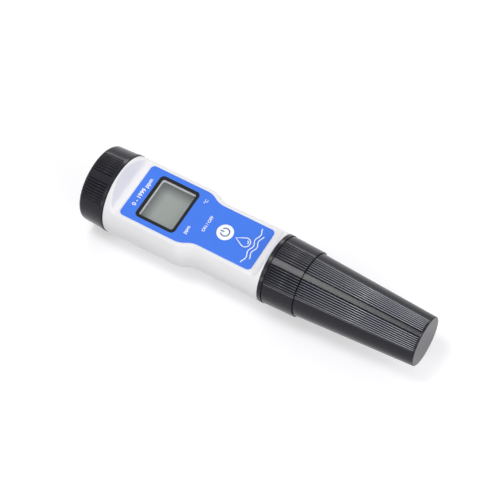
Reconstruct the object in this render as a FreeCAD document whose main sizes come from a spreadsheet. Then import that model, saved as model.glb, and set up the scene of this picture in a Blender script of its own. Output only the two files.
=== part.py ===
import FreeCAD, Part
import Sketcher
import math
import os

# A pen-shaped meter for total dissolved solids, lying on its side with the label up.
# While it is drawn, its long axis is the X axis: the battery cap's closed end is at 0
# and the protective cap's end disc is at the far end. Z is square to the label.
# Every piece then gets the same placement, which puts the origin on the ground,
# under the middle of the instrument.

os.makedirs("parts", exist_ok=True)
doc = FreeCAD.newDocument("dissolved_solids_meter")
sheet = doc.addObject("Spreadsheet::Sheet", "Sizes")


class Length:
    """A number that carries the spreadsheet formula it was worked out from."""

    def __init__(self, value, formula):
        self.value = value
        self.formula = formula

    def __add__(self, other):
        return Length(self.value + number(other), f"({self.formula} + {text(other)})")

    def __radd__(self, other):
        return Length(number(other) + self.value, f"({text(other)} + {self.formula})")

    def __sub__(self, other):
        return Length(self.value - number(other), f"({self.formula} - {text(other)})")

    def __rsub__(self, other):
        return Length(number(other) - self.value, f"({text(other)} - {self.formula})")

    def __mul__(self, other):
        return Length(self.value * number(other), f"({self.formula} * {text(other)})")

    def __rmul__(self, other):
        return Length(number(other) * self.value, f"({text(other)} * {self.formula})")

    def __truediv__(self, other):
        return Length(self.value / number(other), f"({self.formula} / {text(other)})")

    def __neg__(self):
        return Length(-self.value, f"(0 - {self.formula})")


def number(item):
    return item.value if isinstance(item, Length) else float(item)


def text(item):
    return item.formula if isinstance(item, Length) else repr(float(item))


def root(item):
    return Length(math.sqrt(number(item)), f"sqrt({text(item)})")


def sine(degrees):
    return Length(math.sin(math.radians(number(degrees))), f"sin({text(degrees)} * 1 deg)")


def cosine(degrees):
    return Length(math.cos(math.radians(number(degrees))), f"cos({text(degrees)} * 1 deg)")


# Driving sizes in millimetres and degrees
SIZES = {
    # lengths along the axis, one piece after the other
    "battery_cap_length": 14.65,
    "shoulder_gap": 0.25,
    "body_length": 87.7,
    "collar_gap": 0.3,
    "collar_length": 18.7,
    "cap_gap": 0.25,
    "cap_length": 63.15,
    # housing, one moulding with a waist
    "wide_radius": 20.65,
    "end_radius": 18.1,
    "waist_step": 0.5,
    "wide_length": 40.2,
    "waist_run": 11.7,
    "wall": 2.2,
    "edge_round": 0.4,
    "border_round": 1.2,
    # flat for the label, sunk in the top and reached by a ramp at each end
    "flat_depth": 9.66,
    "flat_border": 1.3,
    "rear_margin": 0.82,
    "front_margin": 0.2,
    "ramp_angle": 68.0,
    "ramp_round": 3.0,
    # label, window and button
    "label_border_wide": 1.73,
    "label_border_narrow": 1.35,
    "label_thickness": 0.25,
    "label_corner": 2.2,
    "window_inset": 8.85,
    "window_length": 19.6,
    "window_width": 22.85,
    "window_corner": 1.1,
    "frame_border": 1.6,
    "frame_corner": 2.3,
    "frame_thickness": 0.45,
    "lens_thickness": 0.6,
    "button_inset": 51.95,
    "button_radius": 4.35,
    "button_proud": 0.3,
    "button_flange": 1.0,
    "button_stem_radius": 1.6,
    # fits
    "slip": 0.05,
    "clearance": 0.1,
    "loose": 0.3,
    # screwed neck at the battery end
    "neck_step": 2.4,
    "neck_gap": 1.8,
    "neck_wall": 2.15,
    "seal_groove_width": 1.9,
    "seal_depth": 1.0,
    "seal_setback": 1.0,
    # battery cap
    "rim_step": 0.25,
    "rim_width": 1.6,
    "back_taper": 0.45,
    "back_round": 2.2,
    "cap_floor": 2.4,
    # ribs and smooth grip pads of the three black pieces
    "rib_depth": 0.45,
    "rib_mouth": 0.9,
    "rib_pitch": 4.25,
    "strip_half_angle": 4.7,
    "strip_angle": 15.0,
    "battery_strip_angle": 17.7,
    # battery cells and their tube
    "cell_radius": 5.8,
    "cell_height": 5.4,
    "cell_play": 0.15,
    "cell_button_radius": 4.6,
    "cell_button_height": 0.35,
    "tube_room": 0.95,
    "tube_wall": 1.5,
    "tube_floor": 1.5,
    "spring_length": 3.95,
    "spring_wire": 0.3,
    "contact_thickness": 0.3,
    "plate_margin": 3.3,
    "tongue_width": 4.0,
    "contact_height": 10.0,
    "tag_radius": 0.8,
    "tag_length": 0.9,
    "lead_radius": 0.5,
    "lead_bend": 1.5,
    "holder_flange": 1.6,
    "boss_radius": 2.1,
    "boss_setback": 2.4,
    "boss_drop": 4.0,
    "boss_length": 7.0,
    "screw_radius": 0.9,
    "screw_head": 1.8,
    "screw_head_height": 1.0,
    # circuit board and display
    "board_room": 6.39,
    "board_thickness": 1.6,
    "board_margin": 0.3,
    "board_overlap": 4.15,
    "board_setback": 12.6,
    "step_half_width": 5.0,
    "rail_height": 1.2,
    "rail_overlap": 1.95,
    "rail_margin": 2.0,
    "glass_margin": 2.6,
    "glass_margin_side": 0.8,
    "glass_thickness": 2.0,
    "film_thickness": 0.15,
    "film_margin": 1.0,
    "holder_wall": 0.9,
    "zebra_width": 1.4,
    "zebra_margin": 1.0,
    "chip_gap": 3.3,
    "chip_side": 8.0,
    "chip_height": 1.2,
    "small_part_width": 0.8,
    "small_part_length": 1.6,
    "small_part_height": 0.6,
    "small_part_pitch": 3.0,
    "crystal_radius": 1.0,
    "crystal_length": 6.0,
    # key switch
    "switch_side": 6.0,
    "switch_height": 2.2,
    "plunger_radius": 1.5,
    "plunger_rise": 0.5,
    "press_travel": 0.4,
    # lower neck, collar and sensor
    "lower_neck_step": 2.5,
    "lower_neck_wall": 2.4,
    "lower_neck_gap": 0.5,
    "collar_rim_width": 1.7,
    "collar_slot_width": 0.5,
    "collar_slot_depth": 0.45,
    "collar_step": 0.3,
    "collar_taper": 0.55,
    "lip_length": 4.4,
    "ring_thickness": 0.8,
    "ring_depth": 0.5,
    "ring_reach": 1.2,
    "flange_thickness": 2.5,
    "flange_margin": 0.6,
    "spigot_length": 16.0,
    "stem_cone": 3.0,
    "stem_radius": 9.5,
    "stem_length": 15.0,
    "nose_radius": 6.35,
    "nose_length": 5.0,
    "guard_wall": 1.2,
    "guard_length": 19.5,
    "guard_slot": 5.0,
    "electrode_radius": 1.25,
    "electrode_spacing": 6.4,
    "electrode_length": 8.0,
    "thermometer_radius": 1.5,
    "thermometer_offset": 3.5,
    "plug_pin_radius": 0.7,
    "plug_pin_circle": 3.6,
    "plug_pin_length": 6.5,
    "rod_root": 3.0,
    "barrel_setback": 0.6,
    "barrel_seal_place": 6.0,
    "cap_seal_place": 5.0,
    "socket_radius": 7.0,
    "socket_gap": 0.2,
    "socket_length": 10.8,
    "socket_depth": 7.0,
    "foot_length": 8.0,
    "foot_half_width": 5.0,
    "foot_depth": 5.4,
    # protective cap
    "cap_step": 0.8,
    "cap_taper": 3.55,
    "cap_lip": 2.25,
    "cap_wall": 2.1,
    "cap_seat_gap": 1.45,
    "cap_round": 0.5,
}
for row, (alias, value) in enumerate(SIZES.items(), start=1):
    sheet.set(f"A{row}", alias)
    sheet.set(f"B{row}", str(value))
    sheet.setAlias(f"B{row}", alias)
doc.recompute()


class Sizes:
    """Each driving size by its name."""


s = Sizes()
for alias, value in SIZES.items():
    setattr(s, alias, Length(value, "Sizes." + alias))

# Radii about the axis, each from the housing's own
waist_radius = s.end_radius - s.waist_step
rim_radius = s.wide_radius + s.rim_step
neck_radius = s.wide_radius - s.neck_step
neck_bore = neck_radius - s.neck_wall
cap_bore = neck_radius + s.loose
lower_neck_radius = s.end_radius - s.lower_neck_step
lower_neck_bore = lower_neck_radius - s.lower_neck_wall
thread_bore = lower_neck_radius + s.loose
collar_back_radius = s.end_radius - s.collar_step
collar_front_radius = collar_back_radius - s.collar_taper
cap_mouth_radius = collar_front_radius - s.cap_step
cap_end_radius = cap_mouth_radius - s.cap_taper
seal_bore = cap_mouth_radius - s.cap_lip
spigot_radius = seal_bore - s.loose
tube_bore = s.cell_radius + s.cell_play

# Levels above the axis
flat_level = s.wide_radius - s.flat_depth
label_top = flat_level + s.label_thickness
ceiling = flat_level - s.wall
board_level = ceiling - s.board_room
board_top = board_level + s.board_thickness
tube_drop = tube_bore + s.tube_wall + s.tube_room - board_level


def ramp_reach(radius):
    """How far a ramp runs along the axis from the flat up to the given radius."""
    lift = s.ramp_round * (1 - cosine(s.ramp_angle))
    slope = cosine(s.ramp_angle) / sine(s.ramp_angle)
    return s.ramp_round * sine(s.ramp_angle) + (radius - flat_level - lift) * slope


# Stations along the axis
shoulder = s.battery_cap_length + s.shoulder_gap
waist_start = shoulder + s.wide_length
waist_end = waist_start + s.waist_run
body_end = shoulder + s.body_length
collar_start = body_end + s.collar_gap
collar_end = collar_start + s.collar_length
cap_start = collar_end + s.cap_gap
total_length = cap_start + s.cap_length
neck_start = s.cap_floor + s.neck_gap
flat_start = shoulder + s.rear_margin + ramp_reach(s.wide_radius)
flat_end = body_end - s.front_margin - ramp_reach(s.end_radius)
label_start = flat_start + s.flat_border
label_end = flat_end - s.flat_border
window_start = label_start + s.window_inset
window_end = window_start + s.window_length
button_place = label_start + s.button_inset
cells_start = s.cap_floor + s.contact_thickness + 2 * s.slip
cells_end = cells_start + 4 * s.cell_height
base_contact_start = cells_end + s.spring_length
base_contact_end = base_contact_start + s.contact_thickness
tube_end = base_contact_end + s.tube_floor
board_start = tube_end - s.board_overlap
board_end = body_end - s.board_setback
lip_start = collar_end - s.lip_length
flange_front = lip_start - 4 * s.slip
flange_back = flange_front - s.flange_thickness
ring_front = flange_back - s.loose
ring_back = ring_front - s.ring_thickness - 2 * s.slip
lower_neck_end = ring_back - s.lower_neck_gap

nodes = []


def place(piece):
    """Moves a finished piece from the drawing axis to its place above the ground."""
    piece.setExpression("Placement.Base.x", text(total_length / -2))
    piece.setExpression("Placement.Base.z", text(rim_radius))


def new_body(name, kept=True):
    body = doc.addObject("PartDesign::Body", name)
    body.Label = name
    if kept:
        place(body)
        nodes.append(body)
    return body


def sketch_on(body, role, name, offset=0.0):
    """A sketch on one of the body's own origin planes, shifted along its normal."""
    plane = [item for item in body.Origin.OriginFeatures if item.Role == role][0]
    sketch = body.newObject("Sketcher::SketchObject", name)
    sketch.AttachmentSupport = [(plane, "")]
    sketch.MapMode = "FlatFace"
    sketch.AttachmentOffset.Base.z = number(offset)
    if isinstance(offset, Length):
        sketch.setExpression("AttachmentOffset.Base.z", text(offset))
    return sketch


def bind(sketch, constraint, item):
    """Adds one dimension to a sketch and ties it to the sheet."""
    index = sketch.addConstraint(constraint)
    if isinstance(item, Length):
        sketch.setExpression(f"Constraints[{index}]", text(item))


def fix_point(sketch, geometry, position, x, y):
    bind(sketch, Sketcher.Constraint("DistanceX", -1, 1, geometry, position, number(x)), x)
    bind(sketch, Sketcher.Constraint("DistanceY", -1, 1, geometry, position, number(y)), y)


def arc_between(start, end, bend):
    """The shorter arc from start to end; a positive bend turns left."""
    chord = end - start
    middle = (start + end) * 0.5
    left = FreeCAD.Vector(-chord.y, chord.x, 0).normalize()
    reach = math.sqrt(bend * bend - chord.Length ** 2 / 4)
    centre = middle + left * math.copysign(reach, bend)
    crest = centre - left * math.copysign(abs(bend), bend)
    return Part.Arc(start, crest, end)


def outline(sketch, points):
    """A closed outline. A point is (x, y), or (x, y, bend) where an arc leads to the next."""
    flat = [FreeCAD.Vector(number(p[0]), number(p[1]), 0) for p in points]
    first = sketch.GeometryCount
    ends = []
    for i, point in enumerate(points):
        after = flat[(i + 1) % len(points)]
        if len(point) == 3:
            sketch.addGeometry(arc_between(flat[i], after, number(point[2])))
            ends.append((1, 2) if number(point[2]) > 0 else (2, 1))
        else:
            sketch.addGeometry(Part.LineSegment(flat[i], after))
            ends.append((1, 2))
    for i in range(len(points)):
        j = (i + 1) % len(points)
        joint = Sketcher.Constraint("Coincident", first + i, ends[i][1], first + j, ends[j][0])
        sketch.addConstraint(joint)
    for i, point in enumerate(points):
        fix_point(sketch, first + i, ends[i][0], point[0], point[1])
        if len(point) == 3:
            size = abs(number(point[2]))
            bend = point[2] if number(point[2]) > 0 else -point[2]
            bind(sketch, Sketcher.Constraint("Radius", first + i, size), bend)


def rectangle(sketch, left, right, low, high):
    outline(sketch, [(left, low), (right, low), (right, high), (left, high)])


def circle(sketch, x, y, radius):
    centre = FreeCAD.Vector(number(x), number(y), 0)
    index = sketch.addGeometry(Part.Circle(centre, FreeCAD.Vector(0, 0, 1), number(radius)))
    fix_point(sketch, index, 3, x, y)
    bind(sketch, Sketcher.Constraint("Radius", index, number(radius)), radius)


def set_length(feature, item):
    feature.Length = number(item)
    if isinstance(item, Length):
        feature.setExpression("Length", text(item))


def extrude(body, sketch, kind, length, midplane=False, backwards=False):
    """A Pad goes along the sketch's normal and a Pocket against it."""
    feature = body.newObject("PartDesign::" + kind, sketch.Name + "_" + kind.lower())
    feature.Profile = sketch
    set_length(feature, length)
    feature.Midplane = midplane
    feature.Reversed = backwards
    return feature


def revolve(body, sketch, kind="Revolution"):
    """Turns a profile drawn in the XZ plane round the long axis."""
    feature = body.newObject("PartDesign::" + kind, sketch.Name + "_" + kind.lower())
    feature.Profile = sketch
    feature.ReferenceAxis = (sketch, ["H_Axis"])
    feature.Angle = 360.0
    return feature


def turned(name, points, kept=True):
    """A body of revolution about the long axis."""
    body = new_body(name, kept)
    sketch = sketch_on(body, "XZ_Plane", name + "_profile")
    outline(sketch, points)
    revolve(body, sketch)
    return body


def seal_ring(name, station, inner, outer):
    """An O-ring about the long axis that fills the radial room from inner to outer."""
    body = new_body(name)
    sketch = sketch_on(body, "XZ_Plane", name + "_profile")
    circle(sketch, station, (inner + outer) / 2, (outer - inner) / 2)
    revolve(body, sketch)
    return body


def slab(name, left, right, half_width, low, high):
    """A plate that lies flat, the same on both sides of the long axis."""
    body = new_body(name)
    sketch = sketch_on(body, "XY_Plane", name + "_outline", low)
    rectangle(sketch, left, right, -half_width, half_width)
    extrude(body, sketch, "Pad", high - low)
    return body


def round_edges(body, name, radius, wanted):
    """Fillets the edges of the body's tip that the test picks out."""
    doc.recompute()
    tip = body.Tip
    edges = [f"Edge{i}" for i, edge in enumerate(tip.Shape.Edges, start=1) if wanted(edge)]
    fillet = body.newObject("PartDesign::Fillet", name)
    fillet.Base = (tip, edges)
    fillet.Radius = number(radius)
    if isinstance(radius, Length):
        fillet.setExpression("Radius", text(radius))
    return fillet


def is_upright(edge):
    """True for a straight edge that is square to the label."""
    ends = [vertex.Point for vertex in edge.Vertexes]
    if len(ends) != 2 or edge.Curve.TypeId != "Part::GeomLine":
        return False
    rise = ends[1] - ends[0]
    return abs(rise.z) > 0.99 * rise.Length


def rings_at(station, radius):
    """Picks full circular edges about the long axis by their place and size."""
    def wanted(edge):
        box = edge.BoundBox
        return (box.XLength < 0.01 and abs(box.Center.x - number(station)) < 0.01
                and abs(box.ZMax - number(radius)) < 0.01)
    return wanted


# Housing: revolved outside with a waist, a sunk flat for the label, and a hollow
# that follows the outside at one wall's distance.
def waist_bend(drop):
    """Radius of each of the two equal arcs that step the outline down over the waist."""
    return (s.waist_run * s.waist_run + drop * drop) / (4 * drop)


def housing_points(inset):
    """Upper outline of the housing from the shoulder to the collar, moved in by inset."""
    middle = waist_start + s.waist_run / 2
    drop = s.wide_radius - waist_radius
    bend = waist_bend(drop)
    return [
        (waist_start, s.wide_radius - inset, -bend),
        (middle, (s.wide_radius + waist_radius) / 2 - inset, bend),
        (waist_end, waist_radius - inset),
    ]


def sink_flat(body, name, inset):
    """Takes away what is above the flat and its two ramps, moved down by inset."""
    level = flat_level - inset
    bend = s.ramp_round + inset
    sky = s.wide_radius + 1
    foot = bend * sine(s.ramp_angle)
    lift = bend * (1 - cosine(s.ramp_angle))
    run = (sky - level - lift) * cosine(s.ramp_angle) / sine(s.ramp_angle)
    sketch = sketch_on(body, "XZ_Plane", name)
    outline(sketch, [
        (flat_start, level),
        (flat_end, level, bend),
        (flat_end + foot, level + lift),
        (flat_end + foot + run, sky),
        (flat_start - foot - run, sky),
        (flat_start - foot, level + lift, bend),
    ])
    extrude(body, sketch, "Pocket", 4 * s.wide_radius, midplane=True)


hollow = turned("hollow", [
    (neck_start - 1, 0.0),
    (neck_start - 1, neck_bore),
    (shoulder + s.wall, neck_bore),
    (shoulder + s.wall, s.wide_radius - s.wall),
    *housing_points(s.wall),
    (body_end - s.wall, s.end_radius - s.wall),
    (body_end - s.wall, lower_neck_bore),
    (lower_neck_end + 1, lower_neck_bore),
    (lower_neck_end + 1, 0.0),
], kept=False)
sink_flat(hollow, "hollow_top", s.wall)

seal_front = shoulder - s.seal_setback
seal_back = seal_front - s.seal_groove_width
housing = turned("housing", [
    (neck_start, 0.0),
    (neck_start, neck_radius),
    (seal_back, neck_radius),
    (seal_back, neck_radius - s.seal_depth),
    (seal_front, neck_radius - s.seal_depth),
    (seal_front, neck_radius),
    (shoulder, neck_radius),
    (shoulder, s.wide_radius),
    *housing_points(0),
    (body_end, s.end_radius),
    (body_end, lower_neck_radius),
    (lower_neck_end, lower_neck_radius),
    (lower_neck_end, 0.0),
])
sink_flat(housing, "label_flat", 0)


def is_flat_border(edge):
    """True for the edges where the sunk flat and its ramps meet the round outside."""
    box = edge.BoundBox
    middle = edge.valueAt((edge.FirstParameter + edge.LastParameter) / 2)
    if box.ZMin < number(flat_level) - 0.01 or abs(middle.y) < 0.1 and box.YLength < 0.1:
        return False
    across = box.XLength < 0.01 and abs(box.ZMax - box.ZMin) < 0.01
    return not across and box.XMin > number(shoulder) + 0.01 and box.XMax < number(body_end) - 0.01


round_edges(housing, "border_fillet", s.border_round, is_flat_border)
round_edges(housing, "shoulder_fillet", s.edge_round, rings_at(shoulder, s.wide_radius))

hollowing = housing.newObject("PartDesign::Boolean", "hollowing")
hollowing.Type = "Cut"
hollowing.setObjects([hollow])
barrel_start = body_end - s.barrel_setback
barrel_bore = sketch_on(housing, "YZ_Plane", "barrel_bore", barrel_start - s.loose)
circle(barrel_bore, 0.0, 0.0, lower_neck_bore)
extrude(housing, barrel_bore, "Pocket", s.wall, backwards=True)

# Inside the housing: two rails under the circuit board and two screw bosses
# for the battery holder.
holder_front = neck_start + s.clearance
holder_back = holder_front + s.holder_flange
boss_offset = neck_bore - s.boss_setback
rails = sketch_on(housing, "XY_Plane", "rails", board_level - s.rail_height)
inner_waist = waist_radius - s.wall
board_half_width = root(inner_waist * inner_waist - board_top * board_top) - s.board_margin
for side in (-1, 1):
    edges = sorted(((board_half_width - s.rail_overlap) * side, (inner_waist + 1) * side), key=number)
    rectangle(rails, waist_end + s.rail_margin, body_end - s.wall - 2 * s.rail_margin, *edges)
extrude(housing, rails, "Pad", s.rail_height)
bosses = sketch_on(housing, "YZ_Plane", "bosses", holder_back)
for side in (-1, 1):
    circle(bosses, boss_offset * side, -s.boss_drop, s.boss_radius)
extrude(housing, bosses, "Pad", s.boss_length)
pilots = sketch_on(housing, "YZ_Plane", "pilots", holder_back)
for side in (-1, 1):
    circle(pilots, boss_offset * side, -s.boss_drop, s.screw_radius + s.slip)
extrude(housing, pilots, "Pocket", s.boss_length - 1, backwards=True)

# Openings in the flat: a rebate for the window's lens and frame, the window itself
# and the hole for the button.
frame_half = s.window_width / 2 + s.frame_border
rebate = sketch_on(housing, "XY_Plane", "rebate", flat_level)
rectangle(rebate, window_start - s.frame_border - s.slip, window_end + s.frame_border + s.slip,
          -frame_half - s.slip, frame_half + s.slip)
rebate_depth = s.lens_thickness + s.frame_thickness - s.label_thickness
extrude(housing, rebate, "Pocket", rebate_depth)
opening = sketch_on(housing, "XY_Plane", "opening", flat_level)
rectangle(opening, window_start - s.clearance, window_end + s.clearance,
          -s.window_width / 2 - s.clearance, s.window_width / 2 + s.clearance)
extrude(housing, opening, "Pocket", s.wall + 1)
button_hole = sketch_on(housing, "XY_Plane", "button_hole", flat_level)
circle(button_hole, button_place, 0.0, s.button_radius + s.clearance)
extrude(housing, button_hole, "Pocket", s.wall + 1)


# Label: a printed film that follows the waist, with holes for the window and the button
def flat_half_width(radius):
    return root(radius * radius - flat_level * flat_level)


def label_points():
    wide = flat_half_width(s.wide_radius) - s.label_border_wide
    narrow = flat_half_width(waist_radius) - s.label_border_narrow
    middle = waist_start + s.waist_run / 2
    centre = (wide + narrow) / 2
    bend = waist_bend(wide - narrow)
    return [
        (label_start, -wide),
        (waist_start, -wide, bend),
        (middle, -centre, -bend),
        (waist_end, -narrow),
        (label_end, -narrow),
        (label_end, narrow),
        (waist_end, narrow, -bend),
        (middle, centre, bend),
        (waist_start, wide),
        (label_start, wide),
    ]


label = new_body("label_overlay")
film = sketch_on(label, "XY_Plane", "film", flat_level)
outline(film, label_points())
rectangle(film, window_start - s.frame_border - s.slip, window_end + s.frame_border + s.slip,
          -frame_half - s.slip, frame_half + s.slip)
circle(film, button_place, 0.0, s.button_radius + s.clearance)
extrude(label, film, "Pad", s.label_thickness)


def upright_near(*stations):
    """Picks upright edges at any of the stations along the axis."""
    def wanted(edge):
        x = edge.BoundBox.Center.x
        return is_upright(edge) and min(abs(x - number(place)) for place in stations) < 0.15
    return wanted


frame_start = window_start - s.frame_border
frame_end = window_end + s.frame_border
round_edges(label, "label_corners", s.label_corner, upright_near(label_start, label_end))
round_edges(label, "label_window_corners", s.frame_corner, upright_near(frame_start, frame_end))


# Window: a black frame on top of a clear lens, both let into the rebate
def window_plate(name, low, high, cut):
    body = slab(name, frame_start, frame_end, frame_half, low, high)
    if cut:
        inner = sketch_on(body, "XY_Plane", name + "_opening", high)
        rectangle(inner, window_start, window_end, -s.window_width / 2, s.window_width / 2)
        extrude(body, inner, "Pocket", high - low + 1)
    return body


frame_top = label_top
frame_bottom = frame_top - s.frame_thickness
frame = window_plate("window_frame", frame_bottom, frame_top, cut=True)


round_edges(frame, "window_corners", s.window_corner, upright_near(window_start, window_end))
round_edges(frame, "frame_corners", s.frame_corner, upright_near(frame_start, frame_end))
window_plate("display_window", frame_bottom - s.lens_thickness, frame_bottom, cut=False)

# Power button: a disc that stands a little proud of the label, kept in by a flange
# under the flat, with a stem down to the key switch.
switch_top = board_top + s.switch_height
plunger_top = switch_top + s.plunger_rise
button_top = label_top + s.button_proud
flange_top = ceiling - s.slip
power_button = new_body("power_button")
button_sections = (
    ("button_stem", plunger_top, s.button_stem_radius, flange_top - plunger_top),
    ("button_flange", flange_top - s.button_flange, s.button_radius + 1, s.button_flange),
    ("button_head", flange_top, s.button_radius, button_top - flange_top),
)
for name, level, radius, height in button_sections:
    section = sketch_on(power_button, "XY_Plane", name, level)
    circle(section, button_place, 0.0, radius)
    extrude(power_button, section, "Pad", height)
round_edges(power_button, "button_edge", s.edge_round / 2,
            lambda edge: abs(edge.BoundBox.ZMin - number(button_top)) < 0.001)

# Key switch on the circuit board: a square body and the plunger in it
switch_body = new_body("switch_body")
switch_outline = sketch_on(switch_body, "XY_Plane", "switch_outline", board_top)
rectangle(switch_outline, button_place - s.switch_side / 2, button_place + s.switch_side / 2,
          -s.switch_side / 2, s.switch_side / 2)
extrude(switch_body, switch_outline, "Pad", s.switch_height)
plunger_bore = sketch_on(switch_body, "XY_Plane", "plunger_bore", switch_top)
circle(plunger_bore, button_place, 0.0, s.plunger_radius + s.slip)
bore_depth = 2 * s.plunger_rise + s.press_travel
extrude(switch_body, plunger_bore, "Pocket", bore_depth)
plunger = new_body("switch_plunger")
plunger_outline = sketch_on(plunger, "XY_Plane", "plunger_outline", plunger_top - 2 * s.plunger_rise)
circle(plunger_outline, button_place, 0.0, s.plunger_radius)
extrude(plunger, plunger_outline, "Pad", 2 * s.plunger_rise)

# Circuit board and what it carries
board = slab("circuit_board", board_start, board_end, board_half_width, board_level, board_top)
glass_top = ceiling - s.clearance - s.film_thickness
glass_bottom = glass_top - s.glass_thickness
glass_half = s.window_width / 2 + s.glass_margin_side
glass_start = window_start - s.glass_margin
glass_end = window_end + s.glass_margin
slab("lcd_glass", glass_start, glass_end, glass_half, glass_bottom, glass_top)
film_start = window_start - s.film_margin
film_end = window_end + s.film_margin
film_half = glass_half - s.clearance
slab("lcd_front_film", film_start, film_end, film_half, glass_top, glass_top + s.film_thickness)
slab("lcd_rear_film", film_start, film_end, film_half, glass_bottom - s.film_thickness, glass_bottom)


def zebra_strip(name, left):
    """A striped rubber connector between the board and one edge of the display glass."""
    slab(name, left, left + s.zebra_width, glass_half - s.zebra_margin, board_top, glass_bottom)


zebra_strip("zebra_strip_rear", glass_start + s.clearance)
zebra_strip("zebra_strip_front", glass_end - s.clearance - s.zebra_width)

lcd_holder = slab("lcd_holder", glass_start - s.clearance - s.holder_wall,
                  glass_end + s.clearance + s.holder_wall,
                  glass_half + s.clearance + s.holder_wall, board_top, glass_top)
holder_window = sketch_on(lcd_holder, "XY_Plane", "holder_window", glass_top)
rectangle(holder_window, glass_start - s.clearance, glass_end + s.clearance,
          -glass_half - s.clearance, glass_half + s.clearance)
extrude(lcd_holder, holder_window, "Pocket", glass_top - board_top + 1)

# Parts on the board between the display and the key switch
chip_start = glass_end + s.chip_gap
slab("controller_chip", chip_start, chip_start + s.chip_side, s.chip_side / 2,
     board_top, board_top + s.chip_height)
small_parts = new_body("chip_components")
small_outline = sketch_on(small_parts, "XY_Plane", "small_outline", board_top)
for column in range(3):
    left = button_place + s.switch_side + column * s.small_part_pitch
    for row_start in (s.switch_side, -s.switch_side - s.small_part_length):
        rectangle(small_outline, left, left + s.small_part_width,
                  row_start, row_start + s.small_part_length)
extrude(small_parts, small_outline, "Pad", s.small_part_height)
crystal = new_body("crystal_can")
crystal_outline = sketch_on(crystal, "YZ_Plane", "crystal_outline", chip_start)
circle(crystal_outline, s.chip_side, board_top + s.crystal_radius, s.crystal_radius)
extrude(crystal, crystal_outline, "Pad", s.crystal_length)

# Battery holder: a flange in the neck's bore, and below the axis a tube for the cells.
# A step on the tube carries the rear end of the board.
battery_holder = turned("battery_holder", [
    (holder_front, 0.0),
    (holder_front, neck_bore - s.slip),
    (holder_back, neck_bore - s.slip),
    (holder_back, 0.0),
])
tube = sketch_on(battery_holder, "YZ_Plane", "tube", holder_front)
circle(tube, 0.0, -tube_drop, tube_bore + s.tube_wall)
extrude(battery_holder, tube, "Pad", tube_end - holder_front)
step_foot = tube_bore + s.tube_wall / 2 - tube_drop
board_step = sketch_on(battery_holder, "XY_Plane", "board_step", step_foot)
rectangle(board_step, board_start - s.tube_floor, tube_end, -s.step_half_width, s.step_half_width)
extrude(battery_holder, board_step, "Pad", board_level - step_foot)
bore = sketch_on(battery_holder, "YZ_Plane", "bore", holder_front)
circle(bore, 0.0, -tube_drop, tube_bore)
extrude(battery_holder, bore, "Pocket", base_contact_end - holder_front, backwards=True)
holes = sketch_on(battery_holder, "YZ_Plane", "holes", holder_front)
circle(holes, 0.0, -tube_drop, s.tag_radius + s.slip)
extrude(battery_holder, holes, "Pocket", tube_end, backwards=True)
flange_holes = sketch_on(battery_holder, "YZ_Plane", "flange_holes", holder_front)
circle(flange_holes, 0.0, s.contact_height, s.tag_radius + s.slip)
recesses = sketch_on(battery_holder, "YZ_Plane", "recesses", holder_front)
for side in (-1, 1):
    circle(flange_holes, boss_offset * side, -s.boss_drop, s.screw_radius + s.slip)
    circle(recesses, boss_offset * side, -s.boss_drop, s.screw_head + s.slip)
extrude(battery_holder, flange_holes, "Pocket", s.holder_flange + 1, backwards=True)
extrude(battery_holder, recesses, "Pocket", s.screw_head_height, backwards=True)

screws = new_body("holder_screws")
heads = sketch_on(screws, "YZ_Plane", "heads", holder_front)
shafts = sketch_on(screws, "YZ_Plane", "shafts", holder_front)
for side in (-1, 1):
    circle(heads, boss_offset * side, -s.boss_drop, s.screw_head)
    circle(shafts, boss_offset * side, -s.boss_drop, s.screw_radius)
extrude(screws, heads, "Pad", s.screw_head_height)
extrude(screws, shafts, "Pad", s.holder_flange + s.boss_length - 2)

# Four button cells in one stack, each with its raised negative face to the battery cap
for count in range(4):
    cell_start = cells_start + count * s.cell_height
    cell = new_body(f"battery_cell_{count + 1}")
    for name, start, radius in (
        ("raised_face", cell_start, s.cell_button_radius),
        ("can", cell_start + s.cell_button_height, s.cell_radius),
    ):
        face = sketch_on(cell, "YZ_Plane", f"{name}_{count + 1}", start)
        circle(face, 0.0, -tube_drop, radius)
        extrude(cell, face, "Pad", cell_start + s.cell_height - start)


# Contacts: a plate with a soldering tag at the tube's floor, and one on the flange
def contact(name, start, height, half_width, half_height, tag_end):
    body = new_body(name)
    plate = sketch_on(body, "YZ_Plane", name + "_plate", start)
    rectangle(plate, -half_width, half_width, height - half_height, height + half_height)
    extrude(body, plate, "Pad", s.contact_thickness)
    tag = sketch_on(body, "YZ_Plane", name + "_tag", start)
    circle(tag, 0.0, height, s.tag_radius)
    extrude(body, tag, "Pad", tag_end - start)


base_half = tube_bore / math.sqrt(2) - s.slip
contact("battery_base_contact", base_contact_start, -tube_drop, base_half, base_half,
        tube_end + s.tag_length)
contact("return_contact", holder_front - s.contact_thickness, s.contact_height, 4.0, 2.0,
        holder_back + s.tag_length)


def shaped(name, shape):
    """A piece made directly as a solid, for forms that no sketch feature gives."""
    piece = doc.addObject("Part::Feature", name)
    piece.Label = name
    piece.Shape = shape
    place(piece)
    nodes.append(piece)
    return piece


# Coil spring that pushes the cells towards the battery cap
spring_turns = 3
wire = s.spring_wire.value
coil_radius = s.cell_radius.value - 4 * wire
coil_height = s.spring_length.value - 2 * wire - 2 * s.slip.value
coil = Part.makeHelix(coil_height / spring_turns, coil_height, coil_radius)
section = Part.makeCircle(wire, FreeCAD.Vector(coil_radius, 0, 0), FreeCAD.Vector(0, 1, 0))
spring = Part.Wire(coil.Edges).makePipeShell([Part.Wire([section])], True, True)
spring_seat = FreeCAD.Vector(cells_end.value + wire + s.slip.value, 0, -tube_drop.value)
along_axis = FreeCAD.Rotation(FreeCAD.Vector(0, 1, 0), 90)
spring = spring.transformed(FreeCAD.Placement(spring_seat, along_axis).toMatrix(), copy=True)
shaped("battery_spring", spring)


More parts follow.
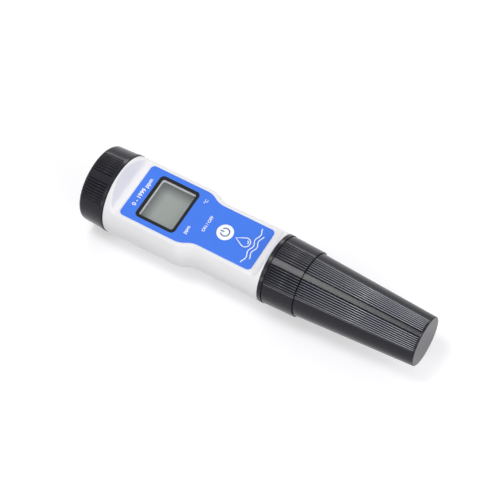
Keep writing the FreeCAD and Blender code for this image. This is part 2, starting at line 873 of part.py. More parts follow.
def lead(name, route):
    """A round wire along straight runs in the XZ plane, joined by tangent arcs."""
    corners = [FreeCAD.Vector(number(x), 0, number(z)) for x, z in route]
    edges = []
    start = corners[0]
    for i in range(1, len(corners) - 1):
        before = (corners[i - 1] - corners[i]).normalize()
        after = (corners[i + 1] - corners[i]).normalize()
        half = before.getAngle(after) / 2
        reach = s.lead_bend.value / math.tan(half)
        to_centre = (before + after).normalize()
        crest = corners[i] + to_centre * (s.lead_bend.value / math.sin(half) - s.lead_bend.value)
        arc_start = corners[i] + before * reach
        arc_end = corners[i] + after * reach
        edges.append(Part.LineSegment(start, arc_start).toShape())
        edges.append(Part.Arc(arc_start, crest, arc_end).toShape())
        start = arc_end
    edges.append(Part.LineSegment(start, corners[-1]).toShape())
    ring = Part.makeCircle(s.lead_radius.value, corners[0], corners[1] - corners[0])
    shaped(name, Part.Wire(edges).makePipeShell([Part.Wire([ring])], True, False))


lead("battery_lead_positive", [
    (tube_end + s.tag_length, -tube_drop),
    (tube_end + s.tag_length + 3, -tube_drop),
    (tube_end + s.tag_length + 3, board_level),
])
lead("battery_lead_negative", [
    (holder_back + s.tag_length, s.contact_height),
    (shoulder, s.contact_height),
    (board_start - 5, board_top + 2),
    (board_start + 1, board_top + 2),
    (board_start + 1, board_top),
])


# Ribs: shallow grooves that run along the taper in four groups. Each group lies
# between a narrow smooth strip and a wide smooth pad, and the whole pattern repeats
# half a turn further round.
def cut_ribs(body, back, front, back_radius, front_radius, strip, count):
    axis = [item for item in body.Origin.OriginFeatures if item.Role == "X_Axis"][0]
    slope = (front_radius - back_radius) / (front.value - back.value)

    def notch(name, station, angle):
        """The V of one groove at a station, drawn a little taller than the groove."""
        radius = back_radius + slope * (station - back)
        top = radius + s.rib_depth
        corners = ((radius - s.rib_depth, 0.0), (top, -s.rib_mouth), (top, s.rib_mouth))
        sketch = sketch_on(body, "YZ_Plane", name, station)
        outline(sketch, [(-(across * cosine(angle) + out * sine(angle)),
                          out * cosine(angle) - across * sine(angle)) for out, across in corners])
        return sketch

    for side, label in ((-1, "left"), (1, "right")):
        angle = strip + side * (s.strip_half_angle + s.rib_pitch / 2)
        name = f"{body.Label}_{label}"
        groove = body.newObject("PartDesign::SubtractiveLoft", name + "_groove")
        groove.Profile = notch(name + "_back", back, angle)
        groove.Sections = [notch(name + "_front", front, angle)]
        groove.Ruled = True
        doc.recompute()
        row = body.newObject("PartDesign::PolarPattern", name + "_row")
        row.Axis = (axis, [""])
        row.Angle = s.rib_pitch.value * (count - 1)
        row.setExpression("Angle", f"{text(s.rib_pitch)} * {count - 1}")
        row.Occurrences = count
        row.Reversed = side < 0
        halves = body.newObject("PartDesign::PolarPattern", name + "_halves")
        halves.Axis = (axis, [""])
        halves.Angle = 360.0
        halves.Occurrences = 2
        ribs = body.newObject("PartDesign::MultiTransform", name + "_ribs")
        ribs.Originals = [groove]
        ribs.Transformations = [row, halves]
        body.Tip = ribs
        doc.recompute()


# Battery cap: a deep screw cap with a smooth rim and ribs that run out over its end
rim_start = s.battery_cap_length - s.rim_width
back_radius = s.wide_radius - s.back_taper
battery_cap = turned("battery_cap", [
    (0.0, 0.0),
    (0.0, back_radius - s.back_round, -s.back_round),
    (s.back_round, back_radius),
    (rim_start, s.wide_radius),
    (rim_start, rim_radius),
    (s.battery_cap_length, rim_radius),
    (s.battery_cap_length, cap_bore),
    (s.cap_floor, cap_bore),
    (s.cap_floor, 0.0),
])
cut_ribs(battery_cap, Length(0.0, "0"), rim_start, back_radius, s.wide_radius,
         s.battery_strip_angle, 8)

seal_ring("battery_cap_seal", (seal_back + seal_front) / 2,
          neck_radius - s.seal_depth + s.slip, cap_bore - s.slip)

plate_radius = neck_bore - s.plate_margin
contact_plate = turned("cap_contact_plate", [
    (s.cap_floor + s.slip, 0.0),
    (s.cap_floor + s.slip, plate_radius),
    (s.cap_floor + s.slip + s.contact_thickness, plate_radius),
    (s.cap_floor + s.slip + s.contact_thickness, 0.0),
])
tongue = sketch_on(contact_plate, "YZ_Plane", "tongue", s.cap_floor + s.slip)
rectangle(tongue, -s.tongue_width / 2, s.tongue_width / 2,
          s.contact_height - s.contact_thickness, s.contact_height + s.contact_thickness)
tongue_end = holder_front - s.contact_thickness - s.slip
extrude(contact_plate, tongue, "Pad", tongue_end - s.cap_floor - s.slip)

# Sensor module: a barrel in the lower neck, a flange held by the collar, a spigot for
# the protective cap, a slimmer stem and the nose that carries the electrodes
flange_radius = thread_bore - s.flange_margin
barrel_radius = lower_neck_bore - s.loose
spigot_end = flange_front + s.spigot_length
stem_end = spigot_end + s.stem_length
nose_end = stem_end + s.nose_length
barrel_seal = body_end + s.barrel_seal_place
cap_seal = cap_start + s.cap_seal_place
seal_half = s.seal_groove_width / 2


def seal_groove(station, radius):
    root = radius - s.seal_depth
    return [(station - seal_half, radius), (station - seal_half, root),
            (station + seal_half, root), (station + seal_half, radius)]


probe_body = turned("probe_body", [
    (barrel_start, 0.0),
    (barrel_start, barrel_radius),
    *seal_groove(barrel_seal, barrel_radius),
    (flange_back, barrel_radius),
    (flange_back, flange_radius),
    (flange_front, flange_radius),
    (flange_front, spigot_radius),
    *seal_groove(cap_seal, spigot_radius),
    (spigot_end, spigot_radius),
    (spigot_end + s.stem_cone, s.stem_radius),
    (stem_end, s.stem_radius),
    (stem_end, s.nose_radius),
    (nose_end, s.nose_radius),
    (nose_end, 0.0),
])
seal_ring("probe_barrel_seal", barrel_seal, barrel_radius - s.seal_depth + s.slip,
          lower_neck_bore - s.slip)
seal_ring("probe_cap_seal", cap_seal, spigot_radius - s.seal_depth + s.slip, seal_bore - s.slip)

# Electrodes and thermometer, each let into the nose
rods = (
    ("electrode_left", -s.electrode_spacing / 2, 0.0, s.electrode_radius),
    ("electrode_right", s.electrode_spacing / 2, 0.0, s.electrode_radius),
    ("thermometer", 0.0, -s.thermometer_offset, s.thermometer_radius),
)
sockets = sketch_on(probe_body, "YZ_Plane", "sockets", nose_end)
for name, y, z, radius in rods:
    circle(sockets, y, z, radius + s.slip)
    rod = new_body(name)
    rod_outline = sketch_on(rod, "YZ_Plane", name + "_outline", nose_end - s.rod_root)
    circle(rod_outline, y, z, radius)
    extrude(rod, rod_outline, "Pad", s.rod_root + s.electrode_length)
    round_edges(rod, name + "_tip", s.edge_round,
                lambda edge: abs(edge.BoundBox.XMax - number(nose_end + s.electrode_length)) < 0.001
                and edge.BoundBox.XLength < 0.001)
extrude(probe_body, sockets, "Pocket", s.rod_root)

# Guard: a sleeve round the electrodes with an opening through it for the water
guard_bore = s.nose_radius + s.slip
guard_end = stem_end + s.guard_length
guard = turned("electrode_guard", [
    (stem_end, guard_bore),
    (stem_end, guard_bore + s.guard_wall),
    (guard_end, guard_bore + s.guard_wall),
    (guard_end, guard_bore),
])
guard_window = sketch_on(guard, "XY_Plane", "guard_window", 0.0)
rectangle(guard_window, nose_end + 2, nose_end + 2 + 1.5 * s.guard_slot,
          -s.guard_slot / 2, s.guard_slot / 2)
extrude(guard, guard_window, "Pocket", 4 * s.nose_radius, midplane=True)

# Plug pins at the back of the module and the socket on the board
pin_places = [(s.plug_pin_circle * cosine(angle), s.plug_pin_circle * sine(angle))
              for angle in (45.0, 135.0, 225.0, 315.0)]
pin_start = barrel_start - s.plug_pin_length
socket_start = board_end + s.socket_gap
socket_end = socket_start + s.socket_length
socket = turned("probe_socket", [
    (socket_start, 0.0),
    (socket_start, s.socket_radius),
    (socket_end, s.socket_radius),
    (socket_end, 0.0),
])
foot = sketch_on(socket, "XY_Plane", "foot", board_level - s.foot_depth)
rectangle(foot, board_end - s.foot_length, socket_start, -s.foot_half_width, s.foot_half_width)
extrude(socket, foot, "Pad", s.foot_depth)
pin_bores = sketch_on(socket, "YZ_Plane", "pin_bores", socket_end)
pins = new_body("plug_pins")
pin_outline = sketch_on(pins, "YZ_Plane", "pin_outline", pin_start)
for y, z in pin_places:
    circle(pin_bores, y, z, s.plug_pin_radius + s.slip)
    circle(pin_outline, y, z, s.plug_pin_radius)
extrude(socket, pin_bores, "Pocket", s.socket_depth)
extrude(pins, pin_outline, "Pad", s.plug_pin_length)

# Collar: a screw ring that draws the module in, held on its flange by a snap ring
rim_end = collar_start + s.collar_rim_width
slot_end = rim_end + s.collar_slot_width
slot_floor = collar_back_radius - s.collar_slot_depth
ring_seat = thread_bore + s.ring_depth
lip_bore = spigot_radius + s.loose
collar = turned("collar", [
    (collar_start, thread_bore),
    (collar_start, s.end_radius),
    (rim_end, s.end_radius),
    (rim_end, slot_floor),
    (slot_end, slot_floor),
    (slot_end, collar_back_radius),
    (collar_end, collar_front_radius),
    (collar_end, lip_bore),
    (lip_start, lip_bore),
    (lip_start, thread_bore),
    (ring_front, thread_bore),
    (ring_front, ring_seat),
    (ring_back, ring_seat),
    (ring_back, thread_bore),
])
cut_ribs(collar, slot_end, collar_end, collar_back_radius, collar_front_radius, s.strip_angle, 9)

snap_ring = turned("collar_snap_ring", [
    (ring_back + s.slip, thread_bore - s.ring_reach),
    (ring_back + s.slip, ring_seat - s.slip),
    (ring_front - s.slip, ring_seat - s.slip),
    (ring_front - s.slip, thread_bore - s.ring_reach),
])
ring_gap = sketch_on(snap_ring, "XY_Plane", "ring_gap", 0.0)
rectangle(ring_gap, ring_back - 1, ring_front + 1, -2.0, 2.0)
extrude(snap_ring, ring_gap, "Pocket", 2 * ring_seat, backwards=True)

# Protective cap: a long tapered cup, ribbed from its mouth to its end disc
seat_end = spigot_end + s.cap_seat_gap
taper = s.cap_taper / s.cap_length
protective_cap = turned("protective_cap", [
    (cap_start, seal_bore),
    (cap_start, cap_mouth_radius),
    (total_length, cap_end_radius),
    (total_length, 0.0),
    (total_length - s.cap_wall, 0.0),
    (total_length - s.cap_wall, cap_end_radius - s.cap_wall),
    (seat_end, cap_mouth_radius - (seat_end - cap_start) * taper - s.cap_wall),
    (seat_end, seal_bore),
])
round_edges(protective_cap, "cap_end_round", s.cap_round, rings_at(total_length, cap_end_radius))
cut_ribs(protective_cap, cap_start, total_length - 2 * s.cap_round, cap_mouth_radius,
         cap_end_radius, s.strip_angle, 9)

# Every feature and every piece has to be sound before anything is written
doc.recompute()
for item in doc.Objects:
    if "Invalid" in item.State or "Error" in item.State:
        raise RuntimeError(f"{item.Label} failed: {item.State}")
for node in nodes:
    if node.Shape.isNull() or not node.Shape.isValid() or not node.Shape.Solids:
        raise RuntimeError(f"{node.Label} is not a sound solid")
for node in nodes:
    node.Shape.exportStep(f"parts/{node.Label}.step")
    print(f"{node.Label}: {len(node.Shape.Solids)} solid, {node.Shape.Volume:.1f} mm3")
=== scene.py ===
import math

import bpy
from mathutils import Matrix, Vector


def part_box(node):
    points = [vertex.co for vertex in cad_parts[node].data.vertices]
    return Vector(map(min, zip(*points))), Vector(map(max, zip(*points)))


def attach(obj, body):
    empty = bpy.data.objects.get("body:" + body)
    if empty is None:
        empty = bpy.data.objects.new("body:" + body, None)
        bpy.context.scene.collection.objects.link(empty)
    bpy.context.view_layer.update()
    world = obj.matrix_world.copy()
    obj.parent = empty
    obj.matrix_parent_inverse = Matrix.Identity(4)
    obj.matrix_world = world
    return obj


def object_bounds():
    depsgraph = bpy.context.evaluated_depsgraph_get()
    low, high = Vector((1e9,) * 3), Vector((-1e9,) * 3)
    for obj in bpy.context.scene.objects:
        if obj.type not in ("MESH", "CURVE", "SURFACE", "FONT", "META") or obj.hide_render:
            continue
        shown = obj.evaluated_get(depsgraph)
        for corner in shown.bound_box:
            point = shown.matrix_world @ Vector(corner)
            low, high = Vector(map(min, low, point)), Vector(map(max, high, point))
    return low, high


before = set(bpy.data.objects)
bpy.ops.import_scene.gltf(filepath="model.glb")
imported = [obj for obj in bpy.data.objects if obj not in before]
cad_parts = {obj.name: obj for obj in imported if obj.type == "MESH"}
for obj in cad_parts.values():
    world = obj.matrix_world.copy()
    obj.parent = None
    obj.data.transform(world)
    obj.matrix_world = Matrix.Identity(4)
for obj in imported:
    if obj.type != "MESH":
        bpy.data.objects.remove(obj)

# A pen-shaped water tester lying on its back with its label up. +X runs from the battery cap to
# the protective cap, +Y is where the lettering's lines run to, and +Z is up, out of the label.
# The frame's solids stay where they are. This script gives them their finishes, adds the window's
# rim, the rib crests, the threads, the chip's legs and the printing, and sets up the studio.

MM = 0.001
cad_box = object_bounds()
scene = bpy.context.scene

# Places of the solids that the details are fitted to, as lowest and highest corners
LABEL_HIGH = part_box("label_overlay")[1]
FRAME_LOW, FRAME_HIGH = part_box("window_frame")
BUTTON_LOW, BUTTON_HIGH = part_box("power_button")
CHIP_LOW, CHIP_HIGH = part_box("controller_chip")
CAP_LOW, CAP_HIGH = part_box("battery_cap")
HOUSING_LOW, HOUSING_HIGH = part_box("housing")
COLLAR_LOW, COLLAR_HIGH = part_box("collar")
FILM_LOW, FILM_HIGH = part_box("lcd_front_film")
AXIS_HEIGHT = (CAP_LOW.z + CAP_HIGH.z) / 2


def middle(low, high):
    """The middle of a box."""
    return (low + high) / 2


# Colours and shader nodes

# the sockets of a colour Mix node, whose names occur more than once
MIX_SHARE, MIX_DARK, MIX_LIGHT, MIX_COLOUR = 0, 6, 7, 2
# how far apart the bands of a wave texture of scale 1 are
BAND_PITCH = 0.314


def linear(code):
    """An sRGB hex colour as the linear one that shaders take."""
    shares = [int(code[i:i + 2], 16) / 255 for i in (1, 3, 5)]
    return [c / 12.92 if c <= 0.04045 else ((c + 0.055) / 1.055) ** 2.4 for c in shares] + [1.0]


def add(tree, kind, settings=None, links=None):
    """Adds a node. Settings are its own properties or its inputs, and links say by input which
    (node, output) feeds it."""
    node = tree.nodes.new(kind)
    for name, value in (settings or {}).items():
        if isinstance(name, int) or name in node.inputs:
            node.inputs[name].default_value = value
        else:
            setattr(node, name, value)
    for name, (source, output) in (links or {}).items():
        tree.links.new(source.outputs[output], node.inputs[name])
    return node


def finish(name, colour, roughness, settings=None):
    """A material with one shader on its output. Returns the material, its tree and the shader."""
    material = bpy.data.materials.new(name)
    material.use_nodes = True
    tree = material.node_tree
    tree.nodes.clear()
    start = {"Base Color": linear(colour), "Roughness": roughness, **(settings or {})}
    shader = add(tree, "ShaderNodeBsdfPrincipled", start)
    add(tree, "ShaderNodeOutputMaterial", links={"Surface": (shader, "BSDF")})
    return material, tree, shader


def place(tree, stretch=(1, 1, 1)):
    """Where a point of the piece is, in metres, with each axis stretched."""
    where = add(tree, "ShaderNodeTexCoord")
    return add(tree, "ShaderNodeMapping", {"Scale": stretch}, {"Vector": (where, "Object")})


def mottle(tree, size_mm, stretch=(1, 1, 1), detail=2.0):
    """Soft noise whose spots are size_mm wide."""
    spots = {"Scale": 1 / (size_mm * MM), "Detail": detail}
    return add(tree, "ShaderNodeTexNoise", spots, {"Vector": (place(tree, stretch), "Vector")})


def bands(tree, axis, pitch_mm):
    """Even stripes across an axis, pitch_mm apart."""
    stripes = {"wave_type": "BANDS", "bands_direction": axis,
               "Scale": BAND_PITCH / (pitch_mm * MM)}
    return add(tree, "ShaderNodeTexWave", stripes, {"Vector": (place(tree), "Vector")})


def vary(tree, shader, source, dark, light, output="Fac"):
    """Lets the base colour go from dark to light as the source goes from 0 to 1."""
    tones = {"data_type": "RGBA", MIX_DARK: linear(dark), MIX_LIGHT: linear(light)}
    mix = add(tree, "ShaderNodeMix", tones, {MIX_SHARE: (source, output)})
    tree.links.new(mix.outputs[MIX_COLOUR], shader.inputs["Base Color"])


def polish(tree, shader, noise, low, high):
    """Lets the roughness drift between two values."""
    span = add(tree, "ShaderNodeMapRange", {"To Min": low, "To Max": high},
               {"Value": (noise, "Fac")})
    tree.links.new(span.outputs["Result"], shader.inputs["Roughness"])


def relief(tree, shader, source, output, height_mm):
    """Raises the surface by up to height_mm where the source is 1."""
    bump = add(tree, "ShaderNodeBump", {"Distance": height_mm * MM}, {"Height": (source, output)})
    tree.links.new(bump.outputs["Normal"], shader.inputs["Normal"])


# Plastics


def white_moulded_abs():
    """White ABS from a spark-eroded mould: even and satin, its highlights broad and soft."""
    material, tree, shader = finish("white_moulded_abs", "#ebeaec", 0.42,
                                    {"IOR": 1.53, "Specular IOR Level": 0.35})
    # the mould's grain is about 0.05 mm and is drawn at 0.2 mm, as coarse as it needs to show
    grain = mottle(tree, 0.2)
    vary(tree, shader, mottle(tree, 9.0), "#e9e8ea", "#edecee")
    polish(tree, shader, mottle(tree, 3.0), 0.38, 0.47)
    relief(tree, shader, grain, "Fac", 0.004)
    return material


def key_moulded_abs():
    """Whiter ABS of the key, from a smoother mould; on the display's rim, a painted highlight."""
    material, tree, shader = finish("key_moulded_abs", "#f6f8fd", 0.35, {"IOR": 1.53})
    vary(tree, shader, mottle(tree, 4.0), "#f4f6fc", "#f8faff")
    polish(tree, shader, mottle(tree, 2.0), 0.3, 0.4)
    return material


def black_moulded_abs():
    """Black ABS with a fine satin grain: near black, and charcoal where it faces the light."""
    material, tree, shader = finish("black_moulded_abs", "#1f1f27", 0.2,
                                    {"IOR": 1.53, "Specular IOR Level": 0.19})
    # the grain is about 0.05 mm and is drawn at 0.2 mm
    grain = mottle(tree, 0.2)
    vary(tree, shader, mottle(tree, 5.0), "#1d1d25", "#212129")
    polish(tree, shader, mottle(tree, 1.2), 0.18, 0.24)
    relief(tree, shader, grain, "Fac", 0.006)
    return material


def black_abs_painted_crest_highlight(name, dark, light, gloss):
    """Ribs' crests painted greyer than black ABS: a painted highlight, with a thin gleam on each.
    """
    material, tree, shader = finish(name, light, 0.3, {"IOR": 1.53, "Specular IOR Level": gloss})
    vary(tree, shader, mottle(tree, 3.0), dark, light)
    polish(tree, shader, mottle(tree, 1.2), 0.26, 0.34)
    return material


def black_glossy_abs():
    """Black ABS from a polished mould, for the sensor's module: smooth, with sharp highlights."""
    material, tree, shader = finish("black_glossy_abs", "#1d1d20", 0.24, {"IOR": 1.53})
    vary(tree, shader, mottle(tree, 4.0), "#1b1b1e", "#202024")
    polish(tree, shader, mottle(tree, 1.5), 0.2, 0.3)
    return material


def grey_moulded_nylon():
    """Grey glass-filled nylon of the inner holders: dull, with a cloudy flow of the filling."""
    material, tree, shader = finish("grey_moulded_nylon", "#8f9296", 0.55, {"IOR": 1.53})
    flow = mottle(tree, 1.2, (0.4, 1, 1), 4.0)
    vary(tree, shader, flow, "#868a8e", "#989b9f")
    relief(tree, shader, flow, "Fac", 0.008)
    return material


def nitrile_rubber():
    """Moulded nitrile rubber of the sealing rings: deep black with a faint bloom."""
    material, tree, shader = finish("nitrile_rubber", "#17171a", 0.5, {"IOR": 1.52})
    bloom = mottle(tree, 0.8, detail=3.0)
    vary(tree, shader, bloom, "#141417", "#1f1f22")
    polish(tree, shader, bloom, 0.42, 0.58)
    return material


def zebra_silicone():
    """Silicone strip of conducting and bare layers in turn, which carries the display's signals."""
    material, tree, shader = finish("zebra_silicone", "#c9a7a0", 0.55, {"IOR": 1.41})
    # a bare and a conducting layer are 0.2 mm thick together
    vary(tree, shader, bands(tree, "Y", 0.2), "#d8b6ae", "#232021")
    return material


def pvc_insulation(name, dark, light):
    """Extruded PVC round a stranded wire: smooth, with a slight waviness from the strands."""
    material, tree, shader = finish(name, light, 0.35, {"IOR": 1.54})
    strands = mottle(tree, 0.35, (1, 0.3, 0.3))
    vary(tree, shader, strands, dark, light)
    relief(tree, shader, strands, "Fac", 0.01)
    return material


def chip_epoxy():
    """Black filled epoxy that chips are moulded in: dull and very finely speckled."""
    material, tree, shader = finish("chip_epoxy", "#1c1c1d", 0.6, {"IOR": 1.55})
    specks = mottle(tree, 0.15, detail=3.0)
    vary(tree, shader, specks, "#171718", "#252526")
    relief(tree, shader, specks, "Fac", 0.004)
    return material


def chip_ceramic():
    """Fired ceramic of the small capacitors: tan and a little chalky."""
    material, tree, shader = finish("chip_ceramic", "#a98a66", 0.5, {"IOR": 1.6})
    vary(tree, shader, mottle(tree, 0.3, detail=3.0), "#9d7f5c", "#b59670")
    return material


def glass_fibre_board():
    """Glass-fibre laminate under green solder mask: glossy, the weave of the cloth just showing."""
    material, tree, shader = finish("glass_fibre_board", "#1f6b3c", 0.3, {"IOR": 1.55})
    # the cloth's threads lie 0.4 mm apart, both ways
    weave = add(tree, "ShaderNodeMath", {"operation": "MAXIMUM"},
                {0: (bands(tree, "X", 0.4), "Fac"), 1: (bands(tree, "Y", 0.4), "Fac")})
    vary(tree, shader, weave, "#1b6136", "#257544", "Value")
    relief(tree, shader, weave, "Value", 0.006)
    return material


# Printed and clear pieces


def printed_polyester(name, colour, dark, light, roughness):
    """Polyester sheet printed on its back: one even colour under a lightly textured face."""
    material, tree, shader = finish(name, colour, roughness,
                                    {"IOR": 1.6, "Specular IOR Level": 0.2})
    # the face's texture is about 0.06 mm and is drawn at 0.15 mm
    face = mottle(tree, 0.15)
    vary(tree, shader, mottle(tree, 6.0), dark, light)
    relief(tree, shader, face, "Fac", 0.002)
    return material


def screen_ink(name, colour):
    """Screen-printed ink: a thin opaque film, a touch duller than the sheet it lies on."""
    material, tree, shader = finish(name, colour, 0.5, {"IOR": 1.5})
    polish(tree, shader, mottle(tree, 0.3), 0.45, 0.58)
    return material


def clear_acrylic():
    """Polished clear acrylic of the window: almost invisible apart from its reflections."""
    clear = {"IOR": 1.49, "Alpha": 0.06}
    material, tree, shader = finish("clear_acrylic", "#f4f7f6", 0.05, clear)
    # fine wiping marks, a few hundredths of a millimetre wide, drawn at 0.3 mm
    polish(tree, shader, mottle(tree, 0.3, (1, 0.15, 1), 4.0), 0.04, 0.1)
    return material


SHADE_WIDTH = 7.0 * MM      # how far the rim's shade reaches over the display


def polarising_film():
    """Polariser on the display's glass: grey-green, and in the rim's shade along two sides."""
    material, tree, shader = finish("polarising_film", "#98a29e", 0.32, {"IOR": 1.49})
    where = add(tree, "ShaderNodeTexCoord")
    spot = add(tree, "ShaderNodeSeparateXYZ", links={"Vector": (where, "Object")})
    # each shaded side: its axis, where the shade is deepest, the light left there and the way off
    sides = []
    for axis, edge, light_left, way in (("X", FILM_LOW.x + 1.0 * MM, 0.2, 1),
                                        ("Y", FILM_HIGH.y - 0.7 * MM, 0.1, -1)):
        fade = {"interpolation_type": "SMOOTHSTEP", "From Min": edge,
                "From Max": edge + way * SHADE_WIDTH, "To Min": light_left, "To Max": 1.0}
        sides.append(add(tree, "ShaderNodeMapRange", fade, {"Value": (spot, axis)}))
    shade = add(tree, "ShaderNodeMath", {"operation": "MULTIPLY"},
                {0: (sides[0], "Result"), 1: (sides[1], "Result")})
    vary(tree, shader, shade, "#26292c", "#8a938e", "Value")
    polish(tree, shader, mottle(tree, 2.0), 0.28, 0.36)
    return material


def display_glass():
    """Soda-lime glass of the display with the liquid crystal in it: grey-green with a wet gloss."""
    material, tree, shader = finish("display_glass", "#9aa5a0", 0.06, {"IOR": 1.52})
    vary(tree, shader, mottle(tree, 4.0), "#95a09b", "#a0aaa5")
    return material


# Metals


def drawn_metal(name, dark, light, low, high, grain_mm, stretch):
    """A metal with the fine lines of its drawing or rolling, stretched along one axis."""
    material, tree, shader = finish(name, light, low, {"Metallic": 1.0})
    lines = mottle(tree, grain_mm, stretch, 3.0)
    vary(tree, shader, lines, dark, light)
    polish(tree, shader, lines, low, high)
    relief(tree, shader, lines, "Fac", 0.002)
    return material


def stainless_steel():
    """Ground stainless steel rod: grey, with grinding lines round it that spread the highlight."""
    return drawn_metal("stainless_steel", "#a3a3a1", "#c4c4c2", 0.22, 0.36, 0.15, (4, 1, 1))


def nickel_plate():
    """Bright nickel plating on rolled steel: warm silver with faint rolling lines."""
    return drawn_metal("nickel_plate", "#b7b3ab", "#cfcbc3", 0.16, 0.3, 0.2, (0.2, 1, 1))


def spring_steel():
    """Zinc-plated spring wire and screws: bright grey with a light haze."""
    return drawn_metal("spring_steel", "#a9acb0", "#c6c9cc", 0.24, 0.38, 0.15, (1, 1, 1))


def gold_plate():
    """Gold flash over nickel on the plug's pins: yellow and bright, so that contact stays good."""
    return drawn_metal("gold_plate", "#c79a3d", "#e0b65a", 0.16, 0.28, 0.15, (0.3, 1, 1))


def tin_solder():
    """Lead-free solder: pale grey, a little frosted where it froze."""
    return drawn_metal("tin_solder", "#a8aaac", "#c8cacb", 0.3, 0.5, 0.25, (1, 1, 1))


WHITE_ABS = white_moulded_abs()
KEY_WHITE = key_moulded_abs()
BLACK_ABS = black_moulded_abs()
# the crests' grey is painted highlight, paler on the protective cap than on the collar
CAP_CREST_PAINTED_HIGHLIGHT = black_abs_painted_crest_highlight("black_abs_bright_painted_crest", "#7c7f88", "#898c95", 1.0)
COLLAR_CREST_PAINTED_HIGHLIGHT = black_abs_painted_crest_highlight("black_abs_painted_crest_highlight", "#3d3f46", "#474950", 0.5)
GLOSSY_ABS = black_glossy_abs()
GREY_NYLON = grey_moulded_nylon()
RUBBER = nitrile_rubber()
BLUE_SHEET = printed_polyester("blue_printed_polyester", "#427ae9", "#4078e7", "#447ceb", 0.42)
BLACK_SHEET = printed_polyester("black_printed_polyester", "#0e0f13", "#0c0d11", "#111216", 0.3)
WHITE_INK = screen_ink("white_screen_ink", "#eef1fa")
SLATE_INK = screen_ink("slate_screen_ink", "#566694")
CLEAR = clear_acrylic()
FILM = polarising_film()
GLASS = display_glass()
STEEL = stainless_steel()
NICKEL = nickel_plate()
SPRING = spring_steel()
GOLD = gold_plate()
SOLDER = tin_solder()
BOARD = glass_fibre_board()
EPOXY = chip_epoxy()
CERAMIC = chip_ceramic()

# The material of each solid. The rear film is metallised, because it is the display's reflector.
DRESSING = {
    "housing": WHITE_ABS, "label_overlay": BLUE_SHEET, "window_frame": BLACK_SHEET,
    "display_window": CLEAR, "power_button": KEY_WHITE, "switch_body": EPOXY,
    "switch_plunger": GREY_NYLON, "circuit_board": BOARD, "lcd_glass": GLASS,
    "lcd_front_film": FILM, "lcd_rear_film": NICKEL, "lcd_holder": GREY_NYLON,
    "zebra_strip_rear": zebra_silicone(), "controller_chip": EPOXY, "chip_components": CERAMIC,
    "crystal_can": SPRING, "battery_holder": GREY_NYLON, "holder_screws": SPRING,
    "battery_cell_1": NICKEL, "battery_cell_2": NICKEL, "battery_cell_3": NICKEL,
    "battery_cell_4": NICKEL, "battery_base_contact": NICKEL, "return_contact": NICKEL,
    "battery_spring": SPRING, "cap_contact_plate": NICKEL,
    "battery_lead_positive": pvc_insulation("red_pvc_insulation", "#8f1712", "#a81f18"),
    "battery_lead_negative": pvc_insulation("black_pvc_insulation", "#161618", "#1f1f22"),
    "battery_cap": BLACK_ABS, "battery_cap_seal": RUBBER, "probe_body": GLOSSY_ABS,
    "probe_barrel_seal": RUBBER, "probe_cap_seal": RUBBER, "electrode_left": STEEL,
    "electrode_right": STEEL, "thermometer": NICKEL, "electrode_guard": GLOSSY_ABS,
    "probe_socket": GLOSSY_ABS, "plug_pins": GOLD, "collar": BLACK_ABS,
    "collar_snap_ring": SPRING, "protective_cap": BLACK_ABS,
}
DRESSING["zebra_strip_front"] = DRESSING["zebra_strip_rear"]
for node_name, material in DRESSING.items():
    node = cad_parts[node_name]
    node.data.materials.clear()
    node.data.materials.append(material)


# Meshes of the details


def put(name, data):
    """An object in the scene for a mesh, a curve, a lamp or a camera."""
    made = bpy.data.objects.new(name, data)
    scene.collection.objects.link(made)
    return made


def piece(name, points, faces, material, body, smooth=False):
    """A mesh piece in the frame's metres with one material, which rides on a body."""
    mesh = bpy.data.meshes.new(name)
    mesh.from_pydata([tuple(p) for p in points], [], faces)
    mesh.validate()
    mesh.update()
    mesh.materials.append(material)
    if smooth:
        mesh.shade_smooth()
    made = put(name, mesh)
    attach(made, body)
    return made


def tube_of(rings, closed_ends=True):
    """Points and faces of a tube over rings of equally many points, one after the other."""
    points = [p for ring in rings for p in ring]
    count = len(rings[0])
    faces = []
    for i in range(len(rings) - 1):
        for j in range(count):
            k = (j + 1) % count
            faces.append((i * count + j, i * count + k, (i + 1) * count + k,
                          (i + 1) * count + j))
    if closed_ends:
        faces.append(tuple(reversed(range(count))))
        faces.append(tuple(range(len(points) - count, len(points))))
    return points, faces


def joined(parts):
    """Several (points, faces) as one."""
    points, faces = [], []
    for some_points, some_faces in parts:
        faces += [tuple(i + len(points) for i in face) for face in some_faces]
        points += some_points
    return points, faces


# Printing on the label. Its lettering reads along +Y, with the letters' tops towards -X.

INK = 0.02 * MM
PRINT_LEVEL = LABEL_HIGH.z
BUTTON_MIDDLE = middle(BUTTON_LOW, BUTTON_HIGH)
CAPITAL_SHARE = 0.7     # a capital's height against the font's size
ARC_STEPS = 40
HEADING_X = FRAME_LOW.x - 3.2 * MM
UNITS_X = FRAME_HIGH.x + 4.6 * MM
ON_OFF_X = BUTTON_MIDDLE.x - 10.0 * MM
# each printed piece: its name, its words, the place of their middle, and the capitals' height and
# the strokes' extra weight in millimetres
LABEL_WORDS = (
    ("printed_range", "0 - 1999 ppm", HEADING_X, 0, 2.2, 0.07),
    ("printed_unit_solids", "ppm", UNITS_X, -7.7 * MM, 1.9, 0.05),
    ("printed_unit_heat", "°C", UNITS_X, 10.2 * MM, 1.6, 0.04),
    ("printed_on_off", "ON / OFF", ON_OFF_X, 0, 1.6, 0.045),
)


